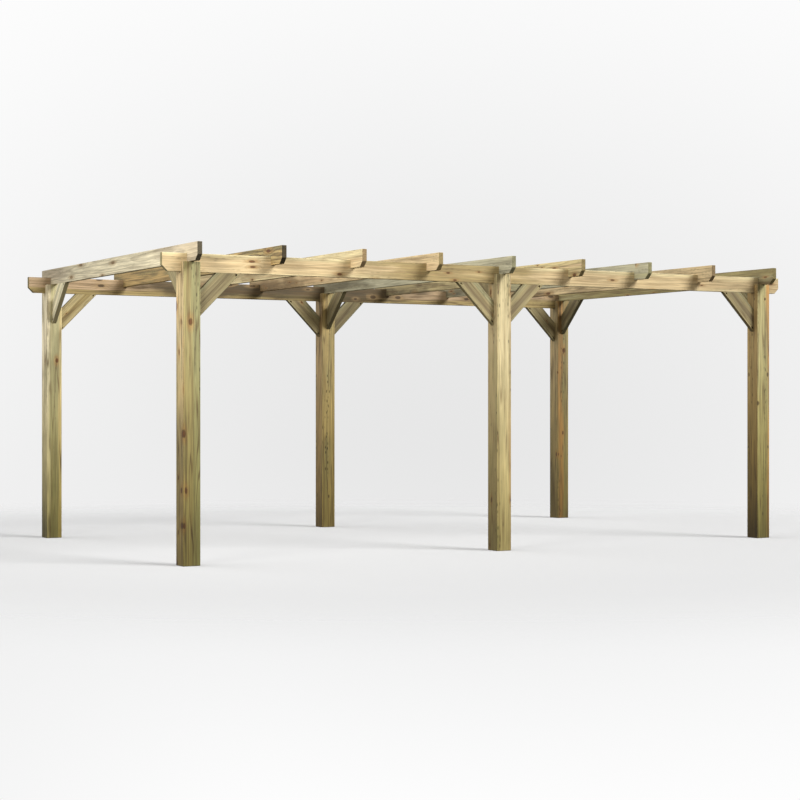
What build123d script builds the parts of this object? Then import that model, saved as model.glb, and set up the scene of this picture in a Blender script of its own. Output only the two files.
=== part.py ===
from build123d import *
import os

# Wooden pergola: six slotted posts carry two long beams, and nine notched rafters lie across them.
# X runs along the beams, Y from the front row of posts to the back row, Z up.
# The origin is on the ground, under the middle of the frame. Sizes are in millimetres.

# Stock
post_side = 140.0
board_thickness = 40.0
board_depth = 140.0
post_arris = 5.0          # eased long edges of a post
board_arris = 3.0         # eased long edges of a board

# Driving lengths
beam_length = 6000.0
rafter_length = 3600.0
post_height = 2285.0
overhang = 150.0          # past the outer face of the end posts, both ways
rafter_count = 9

# Joinery
notch_depth = 65.0        # how far a rafter drops over the beam
end_chamfer = 45.0        # lower corner of each beam end and rafter end
brace_leg = 350.0         # brace, from the inner corner to its tip, along either timber

# Places worked out from the sizes above
end_post_x = beam_length / 2 - overhang - post_side / 2
row_y = rafter_length / 2 - overhang - post_side / 2
rafter_spacing = 2 * end_post_x / (rafter_count - 1)
slot_depth = board_depth - notch_depth
beam_underside = post_height - slot_depth
beam_top = post_height + notch_depth

columns = {"left": -end_post_x, "middle": 0.0, "right": end_post_x}
rows = {"front": -row_y, "back": row_y}


def eased_stock(length, depth, thickness, arris):
    """A planed timber along X, centred, with its four long edges rounded."""
    blank = Box(length, thickness, depth)
    return fillet(blank.edges().filter_by(Axis.X), arris)


def post(x, y):
    """A square post with an open slot across its head, which the beam drops into."""
    blank = eased_stock(post_height, post_side, post_side, post_arris)
    standing = Pos(x, y, post_height / 2) * Rot(0, 90, 0) * blank
    slot = Box(2 * post_side, board_thickness, 2 * slot_depth)
    return standing - Pos(x, y, post_height) * slot


def chamfered_board(length):
    """A board along X, with the lower corner of each end cut off at 45 degrees."""
    board = eased_stock(length, board_depth, board_thickness, board_arris)
    for side in (-1, 1):
        corner = Pos(side * length / 2, 0, -board_depth / 2)
        diagonal = end_chamfer * 2 ** 0.5
        board -= corner * Rot(0, 45, 0) * Box(diagonal, 2 * board_thickness, diagonal)
    return board


def beam(y):
    """A long beam on edge, which lies in the slots of one row of posts."""
    return Pos(0, y, beam_top - board_depth / 2) * chamfered_board(beam_length)


def rafter(x):
    """A rafter on edge, notched over both beams so that it comes down on the post heads."""
    board = Rot(0, 0, 90) * chamfered_board(rafter_length)
    for y in rows.values():
        notch = Box(2 * board_thickness, board_thickness, 2 * notch_depth)
        board -= Pos(0, y, -board_depth / 2) * notch
    return Pos(x, 0, post_height + board_depth / 2) * board


def brace():
    """A mitred brace in the XZ plane, in the corner between an upright on -X and a timber above."""
    short_leg = brace_leg - board_depth * 2 ** 0.5
    outline = Polyline(
        (0, -brace_leg), (brace_leg, 0), (short_leg, 0), (0, -short_leg), close=True
    )
    plate = extrude(Plane.XZ * make_face(outline), board_thickness / 2, both=True)
    slanted = [e for e in plate.edges().filter_by(GeomType.LINE) if is_long_arris(e)]
    return fillet(slanted, board_arris)


def is_long_arris(edge):
    """True for the edges that run along the brace, and not round its mitred ends."""
    direction = edge.tangent_at(0)
    return abs(direction.X) > 0.1 and abs(direction.Z) > 0.1


def beam_brace(x, y, side):
    """Between a post and the beam, reaching along +X for side 1 and -X for side -1."""
    turn = 0 if side > 0 else 180
    return Pos(x + side * post_side / 2, y, beam_underside) * Rot(0, 0, turn) * brace()


def rafter_brace(x, y):
    """Between a post and the rafter above it, reaching towards the middle of the frame."""
    inward = -1 if y > 0 else 1
    return Pos(x, y + inward * post_side / 2, post_height) * Rot(0, 0, 90 * inward) * brace()


def brace_sides(column):
    """The ways that beam braces reach from a post: inwards at the ends, both ways in the middle."""
    return {"left": ["right"], "middle": ["left", "right"], "right": ["left"]}[column]


def pieces():
    """Every piece of the pergola by its name."""
    made = {}
    for row, y in rows.items():
        made[f"beam_{row}"] = beam(y)
        for column, x in columns.items():
            made[f"post_{row}_{column}"] = post(x, y)
            made[f"rafter_brace_{row}_{column}"] = rafter_brace(x, y)
            for way in brace_sides(column):
                side = 1 if way == "right" else -1
                made[f"beam_brace_{row}_{column}_to_{way}"] = beam_brace(x, y, side)
    for number in range(rafter_count):
        made[f"rafter_{number + 1}"] = rafter(-end_post_x + number * rafter_spacing)
    return made


os.makedirs("parts", exist_ok=True)
for name, piece in pieces().items():
    export_step(piece, f"parts/{name}.step")
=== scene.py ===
import math

import bpy
import numpy as np
from mathutils import Matrix, Vector


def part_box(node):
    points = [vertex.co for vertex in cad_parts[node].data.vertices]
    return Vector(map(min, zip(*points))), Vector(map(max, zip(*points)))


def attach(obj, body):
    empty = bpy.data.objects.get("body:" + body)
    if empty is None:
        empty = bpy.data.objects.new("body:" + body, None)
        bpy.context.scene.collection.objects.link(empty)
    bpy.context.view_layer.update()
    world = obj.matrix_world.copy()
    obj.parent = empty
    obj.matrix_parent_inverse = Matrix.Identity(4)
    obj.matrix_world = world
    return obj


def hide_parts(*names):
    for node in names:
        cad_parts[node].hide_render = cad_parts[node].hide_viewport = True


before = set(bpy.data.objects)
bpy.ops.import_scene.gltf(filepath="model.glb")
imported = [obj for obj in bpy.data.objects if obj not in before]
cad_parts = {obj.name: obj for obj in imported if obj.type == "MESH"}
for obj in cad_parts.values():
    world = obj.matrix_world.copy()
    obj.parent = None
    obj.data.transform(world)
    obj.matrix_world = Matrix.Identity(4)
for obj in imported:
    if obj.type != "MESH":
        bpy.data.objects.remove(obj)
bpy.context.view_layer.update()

# Wooden pergola, in metres: X along the beams, Y from the front row of posts to the back, Z up.
# Every timber is made in its own place first: X along the grain, Y through its thickness, Z up its depth.
# The same matrix then carries its mesh, and the pattern of its grain, to where the CAD node stands.


# Camera, floor and light

photoCamera = {
    "place": (-8.0755, -14.1418, 1.2537),
    "turn": -29.57,          # degrees from looking along +Y
    "focalLength": 80.95,    # mm
    "filmWidth": 36.0,       # mm
    "shiftY": -0.0013,
    "farthest": 200.0,
}

floorLook = {
    "radius": 60.0,
    "corners": 96,           # round its edge
    "middle": (-0.30, -0.52, 0.0),
    "stretch": 1.4,          # the shown part is this much wider across the picture than deep
    "fade": (3.8, 7.2),      # and gives way to the backdrop between these distances
    "clear": 0.28,           # of the backdrop shows through it everywhere
    "tone": (206, 206, 206),
    "bounce": (84, 81, 73),  # what it sends back to the timbers
}

backdropLook = {
    "middle": (0.025, -0.025),      # where it is darkest, right of the view's middle and below the horizon
    "reach": (0.50, 0.34, 0.23),    # sideways, upwards and downwards to where it is lightest
    "darkest": 0.80,
    "lightest": 0.99,
    "corner": (-0.32, -0.20),       # a little shade to the lower left
    "cornerReach": 0.27,
    "cornerShade": 0.10,
    "ambient": (0.17, 0.38),        # light on the timbers, from the horizon and from overhead
    "ambientRise": (-0.05, 0.95),   # how far up a direction points for each
}

lamps = {
    "sun": {"from": (0.58, -0.82, 0.72), "strength": 3.6, "softness": 30.0},
    "skylight": {"from": (-0.74, 0.52, 0.50), "strength": 1.9, "softness": 70.0},
    "window": {
        "place": (-6.8, -4.4, 4.1), "towards": (-0.2, -0.4, 2.40), "size": 2.5, "spread": 64.0,
        "power": 48.0},
}

nodeLayout = {"across": 190, "down": 260, "inRow": 12}    # of the shader nodes in the editor


def linear(red, green, blue):
    # A screen colour, 0 to 255, as the linear values that a shader takes
    screen = np.array([red, green, blue]) / 255.0
    values = np.where(screen > 0.04045, ((screen + 0.055) / 1.055) ** 2.4, screen / 12.92)
    return (*[float(v) for v in values], 1.0)


def addNode(tree, kind, inputs=None, **settings):
    # A shader node. Its inputs are given by name or number, as numbers or as the outputs of other nodes
    made = tree.nodes.new(kind)
    row, place = divmod(len(tree.nodes), nodeLayout["inRow"])
    made.location = (nodeLayout["across"] * place, -nodeLayout["down"] * row)
    for key, value in settings.items():
        setattr(made, key, value)
    for key, value in (inputs or {}).items():
        value = value.socket if isinstance(value, Value) else value
        if isinstance(value, bpy.types.NodeSocket):
            tree.links.new(value, made.inputs[key])
        else:
            made.inputs[key].default_value = value
    return made


class Value:
    # A number that changes over a surface: arithmetic on it adds Math nodes to its tree
    def __init__(self, socket):
        self.socket = socket
        self.tree = socket.id_data

    def math(self, operation, *others):
        inputs = {0: self, **{number + 1: other for number, other in enumerate(others)}}
        return Value(addNode(self.tree, "ShaderNodeMath", inputs, operation=operation).outputs[0])

    def __add__(self, other):
        return self.math("ADD", other)

    def __sub__(self, other):
        return self.math("SUBTRACT", other)

    def __mul__(self, other):
        return self.math("MULTIPLY", other)

    def __truediv__(self, other):
        return self.math("DIVIDE", other)

    def step(self, low, high, start=0.0, end=1.0):
        # start below low and end above high, with a smooth slope between
        inputs = {"Value": self, "From Min": low, "From Max": high, "To Min": start, "To Max": end}
        made = addNode(self.tree, "ShaderNodeMapRange", inputs, interpolation_type="SMOOTHSTEP")
        return Value(made.outputs["Result"])


def joined(tree, x, y, z):
    # A vector from three numbers
    return addNode(tree, "ShaderNodeCombineXYZ", {0: x, 1: y, 2: z}).outputs[0]


def parts(tree, vector):
    # The three numbers of a vector or a colour
    made = addNode(tree, "ShaderNodeSeparateXYZ", {0: vector})
    return [Value(output) for output in made.outputs]


def length(tree, vector):
    return Value(addNode(tree, "ShaderNodeVectorMath", {0: vector}, operation="LENGTH").outputs["Value"])


def vectorMath(tree, operation, a, b=(0.0, 0.0, 0.0)):
    return addNode(tree, "ShaderNodeVectorMath", {0: a, 1: b}, operation=operation).outputs[0]


def noise(tree, vector, seed, detail=2.0, roughness=0.5):
    # Soft noise, 0 to 1, about one lump for each unit of the vector
    inputs = {"Vector": vector, "W": seed, "Scale": 1.0, "Detail": detail, "Roughness": roughness}
    return addNode(tree, "ShaderNodeTexNoise", inputs, noise_dimensions="4D")


def blend(tree, share, a, b, mode="MIX"):
    # From colour a to colour b, by share. Colour sockets of a Mix node are only told apart by identifier
    made = addNode(tree, "ShaderNodeMix", data_type="RGBA", blend_type=mode)
    for name, value in (("Factor_Float", share), ("A_Color", a), ("B_Color", b)):
        value = value.socket if isinstance(value, Value) else value
        place = next(i for i in made.inputs if i.identifier == name)
        if isinstance(value, bpy.types.NodeSocket):
            tree.links.new(value, place)
        else:
            place.default_value = value
    return next(o for o in made.outputs if o.identifier == "Result_Color")


def makeCamera():
    lens = bpy.data.cameras.new("photoCamera")
    lens.sensor_width = photoCamera["filmWidth"]
    lens.lens = photoCamera["focalLength"]
    lens.shift_y = photoCamera["shiftY"]
    lens.clip_end = photoCamera["farthest"]
    camera = bpy.data.objects.new("photoCamera", lens)
    camera.location = photoCamera["place"]
    camera.rotation_euler = (math.pi / 2, 0.0, math.radians(photoCamera["turn"]))
    bpy.context.collection.objects.link(camera)
    bpy.context.scene.camera = camera


def makeFloor():
    # A flat disc at height 0: radius times the cosine and sine of even angles round its middle
    angles = np.linspace(0, 2 * math.pi, floorLook["corners"], endpoint=False)
    ring = np.stack([np.cos(angles), np.sin(angles), 0 * angles], 1) * floorLook["radius"]
    mesh = bpy.data.meshes.new("floor")
    mesh.from_pydata(ring.tolist(), [], [list(range(len(ring)))])
    floor = bpy.data.objects.new("floor", mesh)
    bpy.context.collection.objects.link(floor)
    look = bpy.data.materials.new("floorLook")
    look.use_nodes = True
    tree = look.node_tree
    tree.nodes.clear()
    where = addNode(tree, "ShaderNodeTexCoord").outputs["Object"]
    turn = {"Vector": where, "Location": floorLook["middle"], "Scale": (floorLook["stretch"], 1.0, 1.0),
            "Rotation": (0.0, 0.0, math.radians(photoCamera["turn"]))}
    across = addNode(tree, "ShaderNodeMapping", turn, vector_type="TEXTURE").outputs[0]
    faded = length(tree, across).step(*floorLook["fade"], floorLook["clear"], 1.0)
    seen = addNode(tree, "ShaderNodeLightPath").outputs["Is Camera Ray"]
    paint = addNode(tree, "ShaderNodeBsdfDiffuse", {"Color": linear(*floorLook["tone"])}).outputs[0]
    bounce = addNode(tree, "ShaderNodeBsdfDiffuse", {"Color": linear(*floorLook["bounce"])}).outputs[0]
    clear = addNode(tree, "ShaderNodeBsdfTransparent").outputs[0]
    front = addNode(tree, "ShaderNodeMixShader", {0: faded, 1: paint, 2: clear}).outputs[0]
    both = addNode(tree, "ShaderNodeMixShader", {0: seen, 1: bounce, 2: front}).outputs[0]
    addNode(tree, "ShaderNodeOutputMaterial", {"Surface": both})
    mesh.materials.append(look)


def makeWorld():
    # A pale backdrop for the camera, and a soft light from all round for everything else
    world = bpy.data.worlds.new("backdrop")
    bpy.context.scene.world = world
    world.use_nodes = True
    tree = world.node_tree
    tree.nodes.clear()
    way = addNode(tree, "ShaderNodeTexCoord").outputs["Generated"]
    turn = {"Vector": way, "Rotation": (0.0, 0.0, math.radians(photoCamera["turn"]))}
    turned = addNode(tree, "ShaderNodeMapping", turn, vector_type="TEXTURE").outputs[0]
    right, up = parts(tree, turned)[::2]
    (middleX, middleZ), (side, above, below) = backdropLook["middle"], backdropLook["reach"]
    higher = (up - middleZ).math("MAXIMUM", 0.0) / above
    lower = (up - middleZ).math("MINIMUM", 0.0) / below
    distance = length(tree, joined(tree, (right - middleX) / side, higher, lower))
    cornerX, cornerZ = backdropLook["corner"]
    fromCorner = length(tree, joined(tree, right - cornerX, up - cornerZ, 0.0)) / backdropLook["cornerReach"]
    tone = distance.step(0.0, 1.0, backdropLook["darkest"], backdropLook["lightest"])
    tone = tone - fromCorner.step(0.0, 1.0, backdropLook["cornerShade"], 0.0)
    grey = addNode(tree, "ShaderNodeCombineColor", {"Red": tone, "Green": tone, "Blue": tone}).outputs[0]
    shown = addNode(tree, "ShaderNodeBackground", {"Color": grey, "Strength": 1.0}).outputs[0]
    overhead = up.step(*backdropLook["ambientRise"], *backdropLook["ambient"])
    even = {"Color": linear(255, 255, 255), "Strength": overhead}
    ambient = addNode(tree, "ShaderNodeBackground", even).outputs[0]
    seen = addNode(tree, "ShaderNodeLightPath").outputs["Is Camera Ray"]
    mixed = addNode(tree, "ShaderNodeMixShader", {0: seen, 1: ambient, 2: shown}).outputs[0]
    addNode(tree, "ShaderNodeOutputWorld", {"Surface": mixed})


def makeLamps():
    # A soft sun from the front right, a softer light from behind on the left, and a window on the left
    for name, setting in lamps.items():
        if "place" in setting:
            lamp = bpy.data.lights.new(name, "AREA")
            lamp.energy = setting["power"]
            lamp.size = setting["size"]
            lamp.spread = math.radians(setting["spread"])
            back = Vector(setting["place"]) - Vector(setting["towards"])
        else:
            lamp = bpy.data.lights.new(name, "SUN")
            lamp.energy = setting["strength"]
            lamp.angle = math.radians(setting["softness"])
            back = Vector(setting["from"])
        placed = bpy.data.objects.new(name, lamp)
        placed.rotation_euler = back.to_track_quat("Z", "Y").to_euler()
        placed.location = setting.get("place", (0.0, 0.0, 0.0))     # a sun shines alike from anywhere
        bpy.context.collection.objects.link(placed)


makeCamera()
makeFloor()
makeWorld()
makeLamps()
bpy.context.scene.view_settings.view_transform = "Standard"
print("stage: camera, floor and light made")


# Wood, as node groups that every timber's material shares. Lengths are in metres

vectorSockets = ("Place", "Outwards", "Normal", "Axis", "Across", "Pith")
toneSockets = ("Heart", "Sap", "Outer", "Side", "Late", "Stain", "Cut", "Knot", "Halo")


def newGroup(name, inputs, outputs):
    # An empty group. Its sockets are numbers, apart from the vectors and tones named above
    tree = bpy.data.node_groups.new(name, "ShaderNodeTree")
    for direction, names in (("INPUT", inputs), ("OUTPUT", outputs)):
        for socket in names:
            colour = socket in toneSockets or socket == "Colour"
            kind = "Vector" if socket in vectorSockets else "Color" if colour else "Float"
            tree.interface.new_socket(socket, in_out=direction, socket_type="NodeSocket" + kind)
    given = addNode(tree, "NodeGroupInput")
    wanted = addNode(tree, "NodeGroupOutput")
    return tree, given.outputs, wanted.inputs


def useGroup(tree, group, inputs):
    # One use of a group with its own values, and what it gives out
    return addNode(tree, "ShaderNodeGroup", inputs, node_tree=group).outputs


def send(tree, wanted, **values):
    # Values to the outputs of a group, by name
    for name, value in values.items():
        tree.links.new(value.socket if isinstance(value, Value) else value, wanted[name])


pithShape = {
    "drift": 0.075,          # how far the pith wanders from its line
    "driftAlong": 0.55,      # turns of its way, for each metre
    "wobble": 0.013,         # unevenness of the rings
    "wobbleAlong": 2.4,      # lumps of it, for each metre along and across
    "wobbleAcross": 17.0,
}


def makePithGroup():
    # Distance from a pith that wanders along the timber, and the way outwards from it
    tree, given, wanted = newGroup("distanceFromPith", ["Place", "Pith", "Seed"], ["Radius", "Outwards"])
    x, y, z = parts(tree, given["Place"])
    pithY, pithZ = parts(tree, given["Pith"])[1:]
    slowly = joined(tree, x * pithShape["driftAlong"], 0.0, 0.0)
    driftY, driftZ = parts(tree, noise(tree, slowly, given["Seed"], 1.0).outputs["Color"])[:2]
    offY = y - pithY - (driftY - 0.5) * pithShape["drift"]
    offZ = z - pithZ - (driftZ - 0.5) * pithShape["drift"]
    across = joined(tree, 0.0, offY, offZ)
    along, wide = pithShape["wobbleAlong"], pithShape["wobbleAcross"]
    uneven = noise(tree, joined(tree, x * along, y * wide, z * wide), given["Seed"], 2.0).outputs[0]
    wobble = (Value(uneven) - 0.5) * pithShape["wobble"]
    send(tree, wanted, Radius=length(tree, across) + wobble, Outwards=vectorMath(tree, "NORMALIZE", across))
    return tree


knotShape = {
    "ringSize": 0.72,        # of the cells round the pith: about four branches in a whorl
    "ringWidth": 0.42,       # cells whose middle is further from that ring hold no branch
    "seedStep": 3.7,         # cells along, from one seed to the next
    "thickness": (0.45, 1.35),      # thinnest and thickest branch, times the timber's own knot size
    "young": (0.0, 0.07, 0.4, 1.0), # at the pith a branch has 0.4 of its width, and all of it 70 mm out
    "squares": (0.20, 1.7),  # weights of the squares along and around: a knot is longer along the grain
    "haloSquares": (0.07, 1.0),
    "rough": (60.0, 90.0, 90.0),    # lumps of the edge's unevenness, for each metre
    "roughness": 0.5,
    "inside": (0.70, 1.05),  # from full to none, in knot sizes
    "rimIn": (0.62, 0.95),   # the dark rim comes and goes
    "rimOut": (1.0, 1.35),
    "near": (0.2, 2.6),      # halo
}


def makeKnotGroup():
    # Branches run outwards from the pith. Each is a cell on (distance along, way outwards), and its
    # true distance over the surface is the root of along squared plus (turn times radius) squared
    tree, given, wanted = newGroup(
        "knots",
        ["Place", "Outwards", "Radius", "Seed", "Spacing", "Share", "Size"],
        ["Inside", "Rim", "Near"],
    )
    ringSize = knotShape["ringSize"]
    spacing, radius = Value(given["Spacing"]), Value(given["Radius"])
    alongX = parts(tree, given["Place"])[0] / spacing + Value(given["Seed"]) * knotShape["seedStep"]
    outY, outZ = parts(tree, given["Outwards"])[1:]
    cellPlace = joined(tree, alongX, outY * ringSize, outZ * ringSize)
    cells = addNode(tree, "ShaderNodeTexVoronoi", {"Vector": cellPlace, "Scale": 1.0, "Randomness": 1.0})
    middleX, middleY, middleZ = parts(tree, cells.outputs["Position"])
    middle = joined(tree, 0.0, middleY, middleZ)
    offRing = (length(tree, middle) - ringSize).math("ABSOLUTE")
    branchWay = vectorMath(tree, "NORMALIZE", middle)
    turned = length(tree, vectorMath(tree, "SUBTRACT", given["Outwards"], branchWay))
    around = turned * radius
    along = (alongX - middleX) * spacing
    luck, bigness = parts(tree, cells.outputs["Color"])[:2]
    kept = (luck + given["Share"]).math("GREATER_THAN", 1.0)
    kept = kept * offRing.math("LESS_THAN", knotShape["ringWidth"])
    size = Value(given["Size"]) * bigness.step(0.0, 1.0, *knotShape["thickness"])
    size = size * radius.step(*knotShape["young"])
    rough = noise(tree, vectorMath(tree, "MULTIPLY", given["Place"], knotShape["rough"]), given["Seed"], 1.0)
    edge = (Value(rough.outputs[0]) - 0.5) * knotShape["roughness"]
    distances = []
    for weightAlong, weightAround in (knotShape["squares"], knotShape["haloSquares"]):
        squares = along * along * weightAlong + around * around * weightAround
        distances.append(squares.math("SQRT") / size)
    distance, stretched = distances[0] + edge, distances[1]
    inside = distance.step(*knotShape["inside"], 1.0, 0.0) * kept
    rim = distance.step(*knotShape["rimIn"]) * distance.step(*knotShape["rimOut"], 1.0, 0.0) * kept
    near = stretched.step(*knotShape["near"], 1.0, 0.0) * kept
    send(tree, wanted, Inside=inside, Rim=rim, Near=near)
    return tree


ringShape = {
    "roundKnots": 0.016,     # how far the rings give way to a knot
    "unevenness": 2.6,       # years
    "lumps": 45.0,           # of it, for each metre of radius
    "darkens": (0.35, 0.92), # of a year
    "ends": (0.94, 1.0),
}


def makeRingGroup():
    # Yearly rings: pale early wood darkens slowly, and ends at a sharp late line
    tree, given, wanted = newGroup("growthRings", ["Radius", "Near", "Seed", "Spacing"], ["Late", "Year"])
    radius = Value(given["Radius"]) + Value(given["Near"]) * ringShape["roundKnots"]
    uneven = noise(tree, joined(tree, radius * ringShape["lumps"], 0.0, 0.0), given["Seed"], 2.0).outputs[0]
    years = radius / given["Spacing"] + Value(uneven) * ringShape["unevenness"]
    part = years.math("FRACT")
    late = part.step(*ringShape["darkens"]) * part.step(*ringShape["ends"], 1.0, 0.0)
    year = addNode(tree, "ShaderNodeTexWhiteNoise", {"W": years.math("FLOOR")}, noise_dimensions="1D")
    send(tree, wanted, Late=late, Year=year.outputs[0])
    return tree


fibreShape = {
    "drawn": {               # lumps for each metre along and across, and how fine
        "Hair": ((5.0, 150.0, 150.0), 3.0),
        "Streak": ((1.5, 74.0, 74.0), 3.0),
        "Band": ((0.7, 19.0, 19.0), 2.0),
        "Patch": ((2.0, 7.0, 7.0), 4.0),
    },
    "roughness": 0.55,
    "contrast": (0.28, 0.72),
    "fleckCells": (20.0, 62.0, 62.0),
    "fleckEdge": (0.18, 0.46),
    "fleckChance": (0.40, 0.50),
    "fleckBands": (0.60, 0.85),     # the bands that hold flecks
    "figure": (0.9, 23.0, 23.0),
    "figureSeed": 5.0,
    "figureRoughness": 0.4,
    "figureFolds": 5.5,
    "lineWidth": (0.01, 0.20),
    "linePatches": (0.1, 0.8, 0.3, 1.0),    # lines are fainter in some patches
}


def makeFibreGroup():
    # Streaks drawn out along the grain, from hairs to broad bands, each from 0 to 1, then short dark
    # flecks, and thin wavy lines wherever a slow noise, folded several times, comes back to 0
    outputs = ["Hair", "Streak", "Band", "Patch", "Fleck", "Line"]
    tree, given, wanted = newGroup("fibres", ["Place", "Seed"], outputs)
    found = {}
    for name, (scale, detail) in fibreShape["drawn"].items():
        stretched = vectorMath(tree, "MULTIPLY", given["Place"], scale)
        lumps = noise(tree, stretched, given["Seed"], detail, fibreShape["roughness"]).outputs[0]
        found[name] = Value(lumps).step(*fibreShape["contrast"])
    scatter = vectorMath(tree, "MULTIPLY", given["Place"], fibreShape["fleckCells"])
    cells = addNode(tree, "ShaderNodeTexVoronoi", {"Vector": scatter, "Scale": 1.0})
    chance = parts(tree, cells.outputs["Color"])[0].step(*fibreShape["fleckChance"])
    fleck = Value(cells.outputs["Distance"]).step(*fibreShape["fleckEdge"], 1.0, 0.0) * chance
    figure = vectorMath(tree, "MULTIPLY", given["Place"], fibreShape["figure"])
    seed = Value(given["Seed"]) + fibreShape["figureSeed"]
    slow = noise(tree, figure, seed, 1.0, fibreShape["figureRoughness"]).outputs[0]
    folds = (Value(slow) * fibreShape["figureFolds"]).math("PINGPONG", 0.5)
    line = folds.step(*fibreShape["lineWidth"], 1.0, 0.0) * found["Patch"].step(*fibreShape["linePatches"])
    send(tree, wanted, Fleck=fleck * found["Band"].step(*fibreShape["fleckBands"]), Line=line, **found)
    return tree


cutFacing = (0.5, 0.68)      # cosine to an axis, where a face begins to count and where it counts fully


def makeCutGroup():
    # 1 where a surface faces along an axis, such as where the saw went across the grain
    tree, given, wanted = newGroup("cutAcross", ["Normal", "Axis"], ["Share"])
    both = {0: given["Normal"], 1: given["Axis"]}
    facing = Value(addNode(tree, "ShaderNodeVectorMath", both, operation="DOT_PRODUCT").outputs["Value"])
    send(tree, wanted, Share=facing.math("ABSOLUTE").step(*cutFacing))
    return tree


pithGroup = makePithGroup()
knotGroup = makeKnotGroup()
ringGroup = makeRingGroup()
fibreGroup = makeFibreGroup()
cutGroup = makeCutGroup()


woodMix = {
    "raggedness": (0.022, 0.006),       # how far bands and streaks move the edge from one wood to the next
    "heartEdge": (-0.010, 0.012),
    "outerEdge": (-0.014, 0.014),
    "stainAndShadeReach": (0.3, 1.0),           # of its length: whole, and gone
    "stainPatches": (0.2, 0.8),
    "stainSoaks": (0.45, 0.55),         # patches, and bands
    "stainAndShadeEdge": (-0.25, 0.65),
    "stain": 0.88,                      # shares of each tone over what is under it
    "streak": 0.62,
    "line": 0.62,
    "halo": 0.7,
    "knot": 0.92,
    "cut": 0.92,
    "cutRings": 0.6,
    "rings": (0.7, 0.4),                # how much a year counts by its luck, and anyway
    "streaksFrom": (0.58, 1.0),
}

woodShade = {
    "streak": -0.34, "band": -0.28, "patch": -0.20, "hair": 0.40,       # either way of the middle
    "fleck": -0.5, "rim": -0.5, "near": -0.10, "line": -0.26, "cut": -0.24,     # at full strength
    "footRise": (-0.62, 0.34),          # painted shade from the ground, for each metre up the post, and at its middle
    "foot": (-0.58, -0.14),             # painted shade on the faces, and more on the side faces
    "footRed": 0.05,
    "footBlue": -0.38,
}

woodSurface = {
    "rough": 0.66, "roughHair": 0.12, "roughLate": -0.06, "roughKnot": -0.12, "roughCut": 0.12,
    "high": {"late": 0.35, "hair": 0.4, "streak": 0.25, "rim": -0.6, "cutRings": 0.5},
    "bump": 0.35,
    "bumpDepth": 0.0008,
    "specular": 0.35,
}


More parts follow.
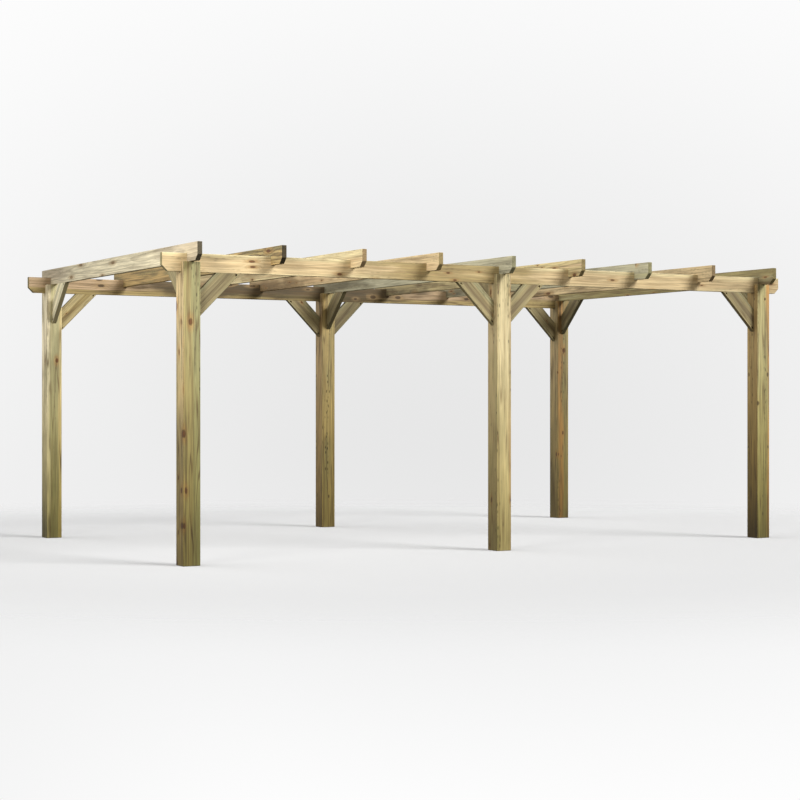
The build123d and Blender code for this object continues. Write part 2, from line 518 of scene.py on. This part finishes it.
def makeTimberGroup():
    # A treated softwood timber: heartwood round the pith, then sapwood, then the weathered wood under
    # the bark, each with its tone, and over them rings, knots, streaks, stain, which in places is painted
    # shade, and the sawn ends
    inputs = ["Place", "Normal", "Axis", "Across", "Pith", "Seed", "Heart Radius", "Outer Radius",
              "Ring Spacing", "Ring Strength", "Ring Fade", "Knot Spacing", "Knot Share", "Knot Size",
              "Stain Share", "Stain And Shade Middle", "Stain And Shade Length", "Stain And Shade Depth", "Stain Rise", "Streaks",
              "Lines", "Flecks", "Foot", "Level", "Side Share", *toneSockets]
    tree, given, wanted = newGroup("treatedTimber", inputs, ["Colour", "Roughness", "Height"])
    seed = given["Seed"]
    pith = useGroup(tree, pithGroup, {"Place": given["Place"], "Pith": given["Pith"], "Seed": seed})
    knots = useGroup(tree, knotGroup, {
        "Place": given["Place"], "Outwards": pith["Outwards"], "Radius": pith["Radius"], "Seed": seed,
        "Spacing": given["Knot Spacing"], "Share": given["Knot Share"], "Size": given["Knot Size"]})
    rings = useGroup(tree, ringGroup, {
        "Radius": pith["Radius"], "Near": knots["Near"], "Seed": seed, "Spacing": given["Ring Spacing"]})
    fibres = useGroup(tree, fibreGroup, {"Place": given["Place"], "Seed": seed})
    cut = Value(useGroup(tree, cutGroup, {"Normal": given["Normal"], "Axis": given["Axis"]})["Share"])
    side = Value(useGroup(tree, cutGroup, {"Normal": given["Normal"], "Axis": given["Across"]})["Share"])
    hair, streak, band, patch = [Value(fibres[name]) for name in ("Hair", "Streak", "Band", "Patch")]
    late, year = Value(rings["Late"]), Value(rings["Year"])
    near, inside, rim = Value(knots["Near"]), Value(knots["Inside"]), Value(knots["Rim"])
    fleck, line = Value(fibres["Fleck"]) * given["Flecks"], Value(fibres["Line"]) * given["Lines"]
    placeX, placeZ = parts(tree, given["Place"])[::2]

    # Heartwood, sapwood and weathered wood, then the side faces, whose tone is partly painted light and
    # shade, and the stain
    byBand, byStreak = woodMix["raggedness"]
    radius = Value(pith["Radius"]) + (band - 0.5) * byBand + (streak - 0.5) * byStreak
    inSap = (radius - given["Heart Radius"]).step(*woodMix["heartEdge"])
    inOuter = (radius - given["Outer Radius"]).step(*woodMix["outerEdge"])
    colour = blend(tree, inSap, given["Heart"], given["Sap"])
    colour = blend(tree, inOuter, colour, given["Outer"])
    colour = blend(tree, side * given["Side Share"], colour, given["Side"])
    # Stain in patches and bands, deeper about a place along the timber; on some timbers that place is painted
    # shade
    away = (placeX - given["Stain And Shade Middle"]) / given["Stain And Shade Length"]
    reached = away.math("ABSOLUTE").step(*woodMix["stainAndShadeReach"], 1.0, 0.0)
    byPatch, byBand = woodMix["stainSoaks"]
    stainAndShade = patch.step(*woodMix["stainPatches"]) * byPatch + band * byBand + given["Stain Share"] - 1.0
    stainAndShade = stainAndShade + (placeZ * given["Stain Rise"] + given["Stain And Shade Depth"]) * reached
    colour = blend(tree, stainAndShade.step(*woodMix["stainAndShadeEdge"]) * woodMix["stain"], colour, given["Stain"])

    # Rings, streaks, lines and knots
    byLuck, anyway = woodMix["rings"]
    ringShare = late * (year * byLuck + anyway) * given["Ring Strength"]
    ringShare = ringShare * ((reached - 1.0) * given["Ring Fade"] + 1.0)
    colour = blend(tree, ringShare.math("MINIMUM", 1.0), colour, given["Late"])
    dragged = streak.step(*woodMix["streaksFrom"]) * given["Streaks"] * woodMix["streak"]
    colour = blend(tree, dragged, colour, given["Late"])
    colour = blend(tree, line * woodMix["line"], colour, given["Late"])
    colour = blend(tree, near * woodMix["halo"], colour, given["Halo"])
    colour = blend(tree, inside * woodMix["knot"], colour, given["Knot"])

    # Shade from the fibres, flecks, knots and lines, then the sawn ends
    drawn = (streak - 0.5) * woodShade["streak"] + (band - 0.5) * woodShade["band"]
    drawn = (drawn + (patch - 0.5) * woodShade["patch"]) * given["Streaks"]
    shade = drawn + (hair - 0.5) * woodShade["hair"] + 1.0
    for mark, name in ((fleck, "fleck"), (rim, "rim"), (near, "near"), (line, "line")):
        shade = shade * (mark * woodShade[name] + 1.0)
    # The level lightens or darkens the whole timber: partly its own tone, partly painted light and shade
    shade = shade * given["Level"]
    sawn = blend(tree, late * woodMix["cutRings"], given["Cut"], given["Late"])
    colour = blend(tree, cut * woodMix["cut"], colour, sawn)
    shade = shade * (cut * woodShade["cut"] + 1.0)

    # Painted shade near the ground: darker and browner towards the foot of a post
    eachMetre, atMiddle = woodShade["footRise"]
    paintedFootShade = placeX.math("MULTIPLY_ADD", eachMetre, atMiddle).math("MAXIMUM", 0.0)
    paintedFootShade = paintedFootShade.math("MINIMUM", 1.0) * given["Foot"]
    onFaces, onSides = woodShade["foot"]
    shade = shade * (paintedFootShade * (side * onSides + onFaces) + 1.0)
    browner = {0: shade * (paintedFootShade * woodShade["footRed"] + 1.0), 1: shade,
               2: shade * (paintedFootShade * woodShade["footBlue"] + 1.0)}
    tint = addNode(tree, "ShaderNodeCombineColor", browner).outputs[0]
    colour = blend(tree, 1.0, colour, tint, "MULTIPLY")

    roughness = hair * woodSurface["roughHair"] + late * woodSurface["roughLate"] + woodSurface["rough"]
    roughness = roughness + inside * woodSurface["roughKnot"] + cut * woodSurface["roughCut"]
    high = woodSurface["high"]
    relief = late * high["late"] + hair * high["hair"] + streak * high["streak"] + rim * high["rim"]
    relief = relief + cut * late * high["cutRings"]
    send(tree, wanted, Colour=colour, Roughness=roughness, Height=relief)
    return tree


timberGroup = makeTimberGroup()
print("stage: wood node groups made")


# Tones of the wood, as screen colours

tones = {
    "cream": (226, 210, 162),
    "linen": (226, 214, 180),
    "straw": (210, 192, 140),
    "peach": (216, 186, 140),
    "buff": (218, 194, 148),
    "rose": (190, 164, 130),
    "honey": (210, 178, 118),
    "dove": (190, 174, 146),
    "golden": (192, 160, 98),
    "oat": (186, 164, 120),
    "reed": (166, 150, 112),
    "khaki": (174, 154, 102),
    "chestnut": (142, 112, 68),
    "tan": (176, 146, 102),
    "amber": (178, 136, 80),
    "olive": (158, 146, 98),
    "fern": (156, 152, 106),
    "lichen": (168, 160, 112),
    "hay": (166, 152, 110),
    "sage": (168, 162, 122),
    "ash": (182, 176, 146),
    "moss": (140, 136, 96),
    "slate": (128, 122, 100),
    "taupe": (142, 128, 100),
    "drab": (132, 120, 90),
    "hazel": (158, 134, 96),
    "brown": (122, 98, 64),
    "umber": (86, 66, 42),
    "russet": (110, 68, 34),
    "peat": (106, 96, 68),
    "pitch": (62, 56, 38),
}

plainTimber = {
    "heart": "peach", "sap": "straw", "outer": "olive", "late": "brown", "stain": "moss", "cut": "olive",
    "knot": "russet", "halo": "amber",
    "side": "tan", "sideShare": 0.0, "sideAxis": 1,     # another tone, on the faces towards this local axis, partly the wood's own and partly painted light and shade
    "pith": (0.075, -0.03),  # m, from the middle of the section: through the thickness, up the depth
    "heartRadius": 0.055,
    "outerRadius": 0.16,
    "ringSpacing": 0.0085,
    "ringStrength": 0.42,
    "ringFade": 0.0,         # how much weaker the rings are away from the stain's place
    "knotSpacing": 0.26,
    "knotShare": 0.55,
    "knotSize": 0.011,
    "stainShare": 0.35,
    "stainAt": (0.0, 1.0, 0.0),     # m along the timber, m either way, and how much deeper; on some timbers this is painted shade
    "stainRise": 0.0,        # deeper still towards the top, for each metre up the depth
    "streaks": 0.8,
    "lines": 0.6,
    "flecks": 0.5,
    "level": 1.0,            # of the whole timber, lighter above 1; partly its tone, partly painted light and shade
    "foot": 0.0,             # painted shade near the ground
}

# On the posts the side tone, on the faces along X, is partly the wood's and partly painted light and shade
postLook = {
    **plainTimber, "side": "hazel", "sideShare": 0.75, "knotSize": 0.015, "lines": 1.0, "flecks": 0.8,
    "foot": 1.0,
}

# The dark side tone on a brace's long edges, which face down and up into the corner, is painted shade
braceLook = {
    **plainTimber, "heart": "drab", "sap": "hay", "outer": "sage", "side": "peat", "sideShare": 0.7,
    "sideAxis": 2, "pith": (0.0, -0.010), "heartRadius": 0.024, "outerRadius": 0.060, "knotShare": 0.15,
    "knotSize": 0.007, "stainShare": 0.15, "streaks": 0.5,
}

timberLooks = {
    "post_front_left": {
        "heart": "khaki", "sap": "olive", "outer": "fern", "side": "buff", "sideShare": 0.6,
        "pith": (-0.1, 0.005), "heartRadius": 0.075, "outerRadius": 0.125, "knotShare": 0.8,
        "lines": 1.2, "flecks": 1.2, "level": 1.07},
    "post_front_middle": {
        "heart": "peach", "sap": "cream", "outer": "straw", "late": "tan", "stain": "lichen",
        "side": "reed", "pith": (0.095, -0.085), "heartRadius": 0.042, "outerRadius": 0.15,
        "knotShare": 0.95, "knotSize": 0.013, "streaks": 0.6, "flecks": 1.15, "level": 0.96, "foot": 0.9},
    "post_front_right": {
        "heart": "amber", "sap": "lichen", "outer": "lichen", "knot": "umber", "halo": "khaki",
        "side": "chestnut", "pith": (0.1, -0.11), "heartRadius": 0.066, "outerRadius": 0.145,
        "knotShare": 0.7, "knotSize": 0.008, "stainShare": 0.2, "flecks": 1.2, "level": 1.42,
        "foot": 1.2},
    "post_back_left": {
        "heart": "straw", "sap": "sage", "outer": "linen", "side": "linen", "pith": (0.09, -0.09),
        "heartRadius": 0.05, "outerRadius": 0.135, "knotShare": 0.25, "knotSize": 0.01, "streaks": 0.5,
        "flecks": 0.4, "level": 1.4, "foot": 1.2},
    "post_back_middle": {
        "heart": "tan", "sap": "golden", "outer": "khaki", "knot": "umber", "halo": "khaki",
        "pith": (-0.09, 0.06), "outerRadius": 0.12, "knotShare": 0.85, "knotSize": 0.009, "flecks": 1.7,
        "level": 1.22},
    "post_back_right": {
        "heart": "amber", "sap": "olive", "outer": "khaki", "side": "oat", "pith": (-0.03, -0.1),
        "heartRadius": 0.038, "outerRadius": 0.09, "knotSize": 0.01, "flecks": 1.2, "level": 1.02},
    # The pale side tone of the front beam lightens its top and underside: painted light
    "beam_front": {
        "heart": "buff", "sap": "cream", "late": "tan", "stain": "khaki", "cut": "moss",
        "side": "linen", "sideShare": 0.8, "sideAxis": 2, "pith": (-0.085, -0.01), "heartRadius": 0.085,
        "knotShare": 0.5, "knotSize": 0.008, "stainShare": 0.1, "stainAt": (-0.35, 1.2, 1.1),
        "level": 0.97},
    # The back beam's stain, deepest about its middle and towards its top, is partly a dark streak and partly
    # painted shade
    "beam_back": {
        "heart": "rose", "sap": "khaki", "late": "brown", "stain": "pitch", "knot": "umber",
        "halo": "tan", "pith": (-0.075, 0.045), "heartRadius": 0.075, "knotShare": 0.35,
        "stainShare": 0.2, "stainAt": (-0.4, 1.9, 1.45), "stainRise": 13.0, "lines": 1.0, "level": 1.05},
    "rafter_1": {
        "heart": "rose", "sap": "linen", "late": "taupe", "stain": "dove", "cut": "pitch",
        "knot": "chestnut", "halo": "tan", "pith": (-0.09, 0.03), "heartRadius": 0.06,
        "knotShare": 0.35, "stainShare": 1.25, "stainAt": (0.1, 1.9, -1.2), "streaks": 0.55,
        "level": 0.96},
    "rafter_2": {
        "heart": "golden", "sap": "honey", "late": "umber", "cut": "pitch", "pith": (-0.055, 0.01),
        "heartRadius": 0.03, "ringSpacing": 0.009, "ringStrength": 1.0, "ringFade": 0.8,
        "knotShare": 0.1, "stainAt": (-1.8, 1.6, 0.15), "level": 0.82},
    # On rafters 3 to 8 the stain at the back end is painted shade, darker towards the back
    "rafter_3": {
        "heart": "peach", "sap": "cream", "late": "tan", "stain": "brown", "cut": "tan",
        "stainShare": 0.0, "stainAt": (1.8, 2.2, 1.0), "level": 0.92},
    "rafter_4": {
        "heart": "peach", "sap": "buff", "late": "tan", "stain": "brown", "cut": "khaki",
        "stainShare": 0.05, "stainAt": (1.8, 2.0, 0.9), "level": 0.92},
    "rafter_5": {
        "heart": "sage", "sap": "ash", "late": "slate", "stain": "peat", "cut": "sage",
        "pith": (-0.08, 0.02), "stainShare": 0.1, "stainAt": (1.8, 1.7, 0.8), "level": 0.98},
    "rafter_6": {
        "heart": "rose", "sap": "straw", "late": "brown", "stain": "peat", "cut": "khaki",
        "pith": (0.08, 0.04), "stainShare": 0.05, "stainAt": (1.8, 2.2, 0.8), "level": 1.0},
    "rafter_7": {
        "heart": "sage", "sap": "ash", "late": "slate", "stain": "peat", "cut": "lichen",
        "stainShare": 0.1, "stainAt": (1.8, 1.7, 0.7), "level": 1.13},
    "rafter_8": {
        "heart": "peach", "sap": "buff", "late": "brown", "stain": "brown", "cut": "hazel",
        "pith": (-0.07, -0.05), "stainShare": 0.1, "stainAt": (1.8, 1.8, 0.7), "level": 1.03},
    "rafter_9": {
        "heart": "sage", "sap": "olive", "late": "brown", "stain": "peat", "cut": "olive",
        "stainShare": 0.25, "stainAt": (-1.8, 1.2, 0.5), "level": 1.05},
    # The braces are otherwise alike: their levels and the pale tones of the back left rafter brace are
    # painted light and shade
    "beam_brace_back_left_to_right": {"heart": "khaki", "sap": "straw", "outer": "straw", "level": 0.86},
    "beam_brace_back_middle_to_right": {"level": 0.72},
    "beam_brace_front_left_to_right": {"level": 0.76},
    "beam_brace_front_middle_to_left": {"level": 1.08},
    "beam_brace_front_middle_to_right": {"level": 1.08},
    "beam_brace_front_right_to_left": {"level": 0.96},
    "rafter_brace_back_left": {
        "heart": "linen", "sap": "ash", "outer": "linen", "late": "olive", "level": 1.5},
    "rafter_brace_front_left": {"heart": "sage", "outer": "moss", "level": 0.8},
    "rafter_brace_back_middle": {"level": 0.85},
    "rafter_brace_back_right": {"level": 0.7},
}


def lookOf(node):
    kind = postLook if node.startswith("post") else braceLook if "brace" in node else plainTimber
    return {**kind, **timberLooks.get(node, {})}


def socketName(key):
    # "ringSpacing" goes to the socket "Ring Spacing"
    return "".join(" " + letter if letter.isupper() else letter for letter in key).title()


def makeTimberMaterial(name, matrix, look):
    # Object coordinates turned into the timber's own place, then its look
    material = bpy.data.materials.new(name + "Wood")
    material.use_nodes = True
    tree = material.node_tree
    shader = tree.nodes["Principled BSDF"]
    where = addNode(tree, "ShaderNodeTexCoord").outputs
    turn = {"Vector": where["Object"], "Location": matrix.translation, "Rotation": matrix.to_euler()}
    place = addNode(tree, "ShaderNodeMapping", turn, vector_type="TEXTURE").outputs[0]
    seed = float(sum(ord(letter) * (number + 3) for number, letter in enumerate(name)) % 97)
    inputs = {
        "Place": place, "Normal": where["Normal"], "Axis": matrix.col[0].xyz,
        "Across": matrix.col[look["sideAxis"]].xyz, "Pith": (0.0, *look["pith"]), "Seed": seed,
        **dict(zip(("Stain And Shade Middle", "Stain And Shade Length", "Stain And Shade Depth"), look["stainAt"])),
    }
    for key, value in look.items():
        if socketName(key) in toneSockets:
            inputs[socketName(key)] = linear(*tones[value])
        elif isinstance(value, float):
            inputs[socketName(key)] = value
    wood = useGroup(tree, timberGroup, inputs)
    bump = {"Height": wood["Height"], "Strength": woodSurface["bump"], "Distance": woodSurface["bumpDepth"]}
    tree.links.new(wood["Colour"], shader.inputs["Base Color"])
    tree.links.new(wood["Roughness"], shader.inputs["Roughness"])
    tree.links.new(addNode(tree, "ShaderNodeBump", bump).outputs[0], shader.inputs["Normal"])
    shader.inputs["Specular IOR Level"].default_value = woodSurface["specular"]
    return material


# Timbers, each an outline on X and Z carried across its thickness

timberShape = {
    "arris": {"post": 0.005, "board": 0.003},
    "arrisSteps": 3,
    "endChamfer": 0.045,
    "braceLeg": 0.350,       # from the inner corner to a tip
}

screwShape = {
    "fromTip": (0.038, 0.016),   # along the brace and up from its long edge, to where the bore enters
    "bore": 0.008,           # radius
    "depth": 0.014,          # along the bore
    "slant": 33.0,           # degrees from the side of the brace
    "head": ((0.0, 0.0016), (0.0021, 0.0016), (0.0024, 0.0030), (0.0048, 0.0031), (0.0056, 0.0024),
             (0.0057, 0.0), (0.0, 0.0)),    # radius and height, from the middle of the top
    "boreSteps": 24,         # round
    "headSteps": 20,
}

screwFinish = {
    "tone": (92, 70, 50),
    "dull": 0.55,            # of its light is left in the worn places
    "lumps": (420.0, 420.0, 420.0),     # for each metre
    "seed": 3.0,
    "wear": (0.35, 0.65),
    "rough": (0.3, 0.7, 0.38, 0.62),
    "metal": 0.8,
}


def sizesOf(node):
    low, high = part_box(node)
    return high - low


def middleOf(node):
    low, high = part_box(node)
    return (low + high) / 2


def placing(along, up, middle):
    # A matrix from a timber's own place to the pergola: its X goes along, its Z goes up
    x, z = Vector(along).normalized(), Vector(up).normalized()
    turned = Matrix((x, z.cross(x), z)).transposed().to_4x4()
    return Matrix.Translation(middle) @ turned


def postOutline(length, side, slotDepth, slotWidth):
    # A rectangle with a slot in its far end
    half, slot = side / 2, slotWidth / 2
    end, floor = length / 2, length / 2 - slotDepth
    return [(-end, -half), (end, -half), (end, -slot), (floor, -slot), (floor, slot), (end, slot),
            (end, half), (-end, half)]


def boardOutline(length, depth, notches=(), notchWidth=0.0, notchDepth=0.0):
    # A rectangle with its lower corners cut off, and with notches up from its lower edge
    end, half, cut = length / 2, depth / 2, timberShape["endChamfer"]
    lower = [(-end, -half + cut), (-end + cut, -half)]
    for middle in notches:
        left, right, top = middle - notchWidth / 2, middle + notchWidth / 2, notchDepth - half
        lower += [(left, -half), (left, top), (right, top), (right, -half)]
    return lower + [(end - cut, -half), (end, -half + cut), (end, half), (-end, half)]


def braceOutline(depth):
    # Mitred at both ends at 45 degrees, with its long edge outwards at the bottom
    outer = timberShape["braceLeg"] / math.sqrt(2)
    return [(-outer, -depth / 2), (outer, -depth / 2), (outer - depth, depth / 2), (depth - outer, depth / 2)]


def turnedShapes(profile, matrices, steps):
    # One closed shape for each matrix: the profile's radius and height carried round the local Z,
    # radius times the cosine and sine of the angle, with a fan of triangles at each pole
    angle = np.linspace(0, 2 * math.pi, steps, endpoint=False)
    radius, height = np.array(profile[1:-1]).T
    ring = np.stack([np.outer(radius, np.cos(angle)), np.outer(radius, np.sin(angle)),
                     np.repeat(height[:, None], steps, 1)], 2).reshape(-1, 3)
    poles = np.array([(0.0, 0.0, profile[0][1]), (0.0, 0.0, profile[-1][1])])
    shape = np.concatenate([poles, ring])
    near = np.arange(steps)
    after = (near + 1) % steps
    start = 2 + np.arange(len(radius) - 1)[:, None] * steps
    bands = np.stack([start + near, start + steps + near, start + steps + after, start + after], 2)
    bands = bands.reshape(-1, 4)
    last = 2 + (len(radius) - 1) * steps
    caps = [np.stack([0 * near, 2 + near, 2 + after], 1),
            np.stack([0 * near + 1, last + after, last + near], 1)]
    turns = np.array([matrix.to_3x3() for matrix in matrices])
    places = np.array([matrix.translation for matrix in matrices])
    points = np.einsum("mij,pj->mpi", turns, shape) + places[:, None, :]
    jump = (np.arange(len(matrices)) * len(shape))[:, None, None]
    faces = []
    for some in (bands, *caps):
        faces += (some[None] + jump).reshape(-1, some.shape[1]).tolist()
    return points.reshape(-1, 3), faces


def makeTimber(node, outline, thickness, matrix, arris):
    # The outline carried straight across the thickness, and then the timber's matrix times each corner.
    # There is one face at each side, and one across every edge of the outline
    flat = np.array(outline)
    count = len(flat)
    half = thickness / 2
    sides = [np.stack([flat[:, 0], np.full(count, y), flat[:, 1]], 1) for y in (-half, half)]
    corners = np.concatenate(sides)
    turned = np.array(matrix.to_3x3())
    corners = corners @ turned.T + np.array(matrix.translation)
    near = np.arange(count)
    after = (near + 1) % count
    around = np.stack([after, near, near + count, after + count], 1)
    faces = [near.tolist(), (near[::-1] + count).tolist()] + around.tolist()
    mesh = bpy.data.meshes.new(node + "_timber")
    mesh.from_pydata(corners.tolist(), [], faces)
    mesh.polygons.foreach_set("use_smooth", np.ones(len(faces), bool))
    piece = bpy.data.objects.new(node + "_timber", mesh)
    bpy.context.collection.objects.link(piece)
    eased = piece.modifiers.new("easedArrises", "BEVEL")
    eased.width = timberShape["arris"][arris]
    eased.segments = timberShape["arrisSteps"]
    eased.limit_method = "ANGLE"
    eased.harden_normals = True
    mesh.materials.append(makeTimberMaterial(node, matrix, lookOf(node)))
    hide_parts(node)
    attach(piece, "root")
    return piece


# Posts, beams and rafters

rows = ("front", "back")
columns = ("left", "middle", "right")
rafterCount = 9
post = sizesOf("post_front_left")
board = sizesOf("beam_front")
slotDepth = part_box("post_front_left")[1].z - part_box("beam_front")[0].z
notchDepth = board.z - slotDepth
postPlace = {(row, column): middleOf(f"post_{row}_{column}") for row in rows for column in columns}

outline = postOutline(post.z, post.x, slotDepth, board.y)
for (row, column), middle in postPlace.items():
    matrix = placing((0, 0, 1), (0, 1, 0), middle)
    makeTimber(f"post_{row}_{column}", outline, post.x, matrix, "post")

outline = boardOutline(board.x, board.z)
for row in rows:
    matrix = placing((1, 0, 0), (0, 0, 1), middleOf(f"beam_{row}"))
    makeTimber(f"beam_{row}", outline, board.y, matrix, "board")

notches = [postPlace[row, "left"].y for row in rows]
outline = boardOutline(sizesOf("rafter_1").y, board.z, notches, board.y, notchDepth)
for number in range(1, rafterCount + 1):
    matrix = placing((0, 1, 0), (0, 0, 1), middleOf(f"rafter_{number}"))
    makeTimber(f"rafter_{number}", outline, board.y, matrix, "board")
print("stage: posts, beams and rafters made")


# Braces, bored for the screws that hold them

screwPlaces = []


def boreScrews(piece, matrix):
    # A slanting bore near each tip, from both sides. Its own Z comes out of the wood, from its floor
    outer, half = timberShape["braceLeg"] / math.sqrt(2), board.y / 2
    slant = math.radians(screwShape["slant"])
    alongX, upZ = screwShape["fromTip"]
    bores = []
    for tip in (-1, 1):
        for face in (-1, 1):
            out = Vector((-tip * math.cos(slant), face * math.sin(slant), 0.0))
            mouth = Vector((tip * (outer - alongX), face * half, upZ - board.z / 2))
            place = placing(out.orthogonal(), out, mouth - out * screwShape["depth"])
            bores.append(matrix @ place)
    deep, wide = screwShape["depth"] * 3, screwShape["bore"]    # long enough to come right out of the wood
    profile = ((0.0, deep), (wide, deep), (wide, 0.0), (0.0, 0.0))
    points, faces = turnedShapes(profile, bores, screwShape["boreSteps"])
    tool = bpy.data.meshes.new("bores")
    tool.from_pydata(points.tolist(), [], faces)
    cutter = bpy.data.objects.new("bores", tool)
    bpy.context.collection.objects.link(cutter)
    bored = piece.modifiers.new("bored", "BOOLEAN")
    bored.object = cutter
    bored.operation = "DIFFERENCE"
    bored.solver = "EXACT"
    whole = piece.evaluated_get(bpy.context.evaluated_depsgraph_get())
    mesh = bpy.data.meshes.new_from_object(whole)
    piece.modifiers.clear()
    piece.data = mesh
    bpy.data.objects.remove(cutter)
    screwPlaces.extend(bores)


def makeScrewHeads():
    # Flat screw heads with a round socket, on the floors of the bores
    points, faces = turnedShapes(screwShape["head"], screwPlaces, screwShape["headSteps"])
    mesh = bpy.data.meshes.new("brace_screws")
    mesh.from_pydata(points.tolist(), [], faces)
    screws = bpy.data.objects.new("brace_screws", mesh)
    bpy.context.collection.objects.link(screws)
    material = bpy.data.materials.new("screwSteel")
    material.use_nodes = True
    tree = material.node_tree
    shader = tree.nodes["Principled BSDF"]
    where = addNode(tree, "ShaderNodeTexCoord").outputs["Object"]
    scattered = vectorMath(tree, "MULTIPLY", where, screwFinish["lumps"])
    worn = Value(noise(tree, scattered, screwFinish["seed"]).outputs[0])
    bright = linear(*screwFinish["tone"])
    dull = tuple(screwFinish["dull"] * channel for channel in bright[:3]) + (1.0,)
    colour = blend(tree, worn.step(*screwFinish["wear"]), bright, dull)
    tree.links.new(colour, shader.inputs["Base Color"])
    tree.links.new(worn.step(*screwFinish["rough"]).socket, shader.inputs["Roughness"])
    shader.inputs["Metallic"].default_value = screwFinish["metal"]
    mesh.materials.append(material)
    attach(screws, "root")


def makeBrace(node, corner, reach):
    # corner is where the post meets the timber above, and reach the way along that timber
    inwards = Vector(reach)
    up = (Vector((0, 0, 1)) - inwards).normalized()
    outerMiddle = Vector(corner) + (inwards - Vector((0, 0, 1))) * timberShape["braceLeg"] / 2
    matrix = placing(inwards + Vector((0, 0, 1)), up, outerMiddle + up * board.z / 2)
    piece = makeTimber(node, braceOutline(board.z), board.y, matrix, "board")
    boreScrews(piece, matrix)


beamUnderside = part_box("beam_front")[0].z
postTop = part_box("post_front_left")[1].z
for (row, column), middle in postPlace.items():
    ways = {"left": [1], "middle": [-1, 1], "right": [-1]}[column]
    for way in ways:
        corner = (middle.x + way * post.x / 2, middle.y, beamUnderside)
        makeBrace(f"beam_brace_{row}_{column}_to_{'right' if way > 0 else 'left'}", corner, (way, 0, 0))
    inward = 1 if row == "front" else -1
    corner = (middle.x, middle.y + inward * post.x / 2, postTop)
    makeBrace(f"rafter_brace_{row}_{column}", corner, (0, inward, 0))
makeScrewHeads()
print("stage: braces and screws made")
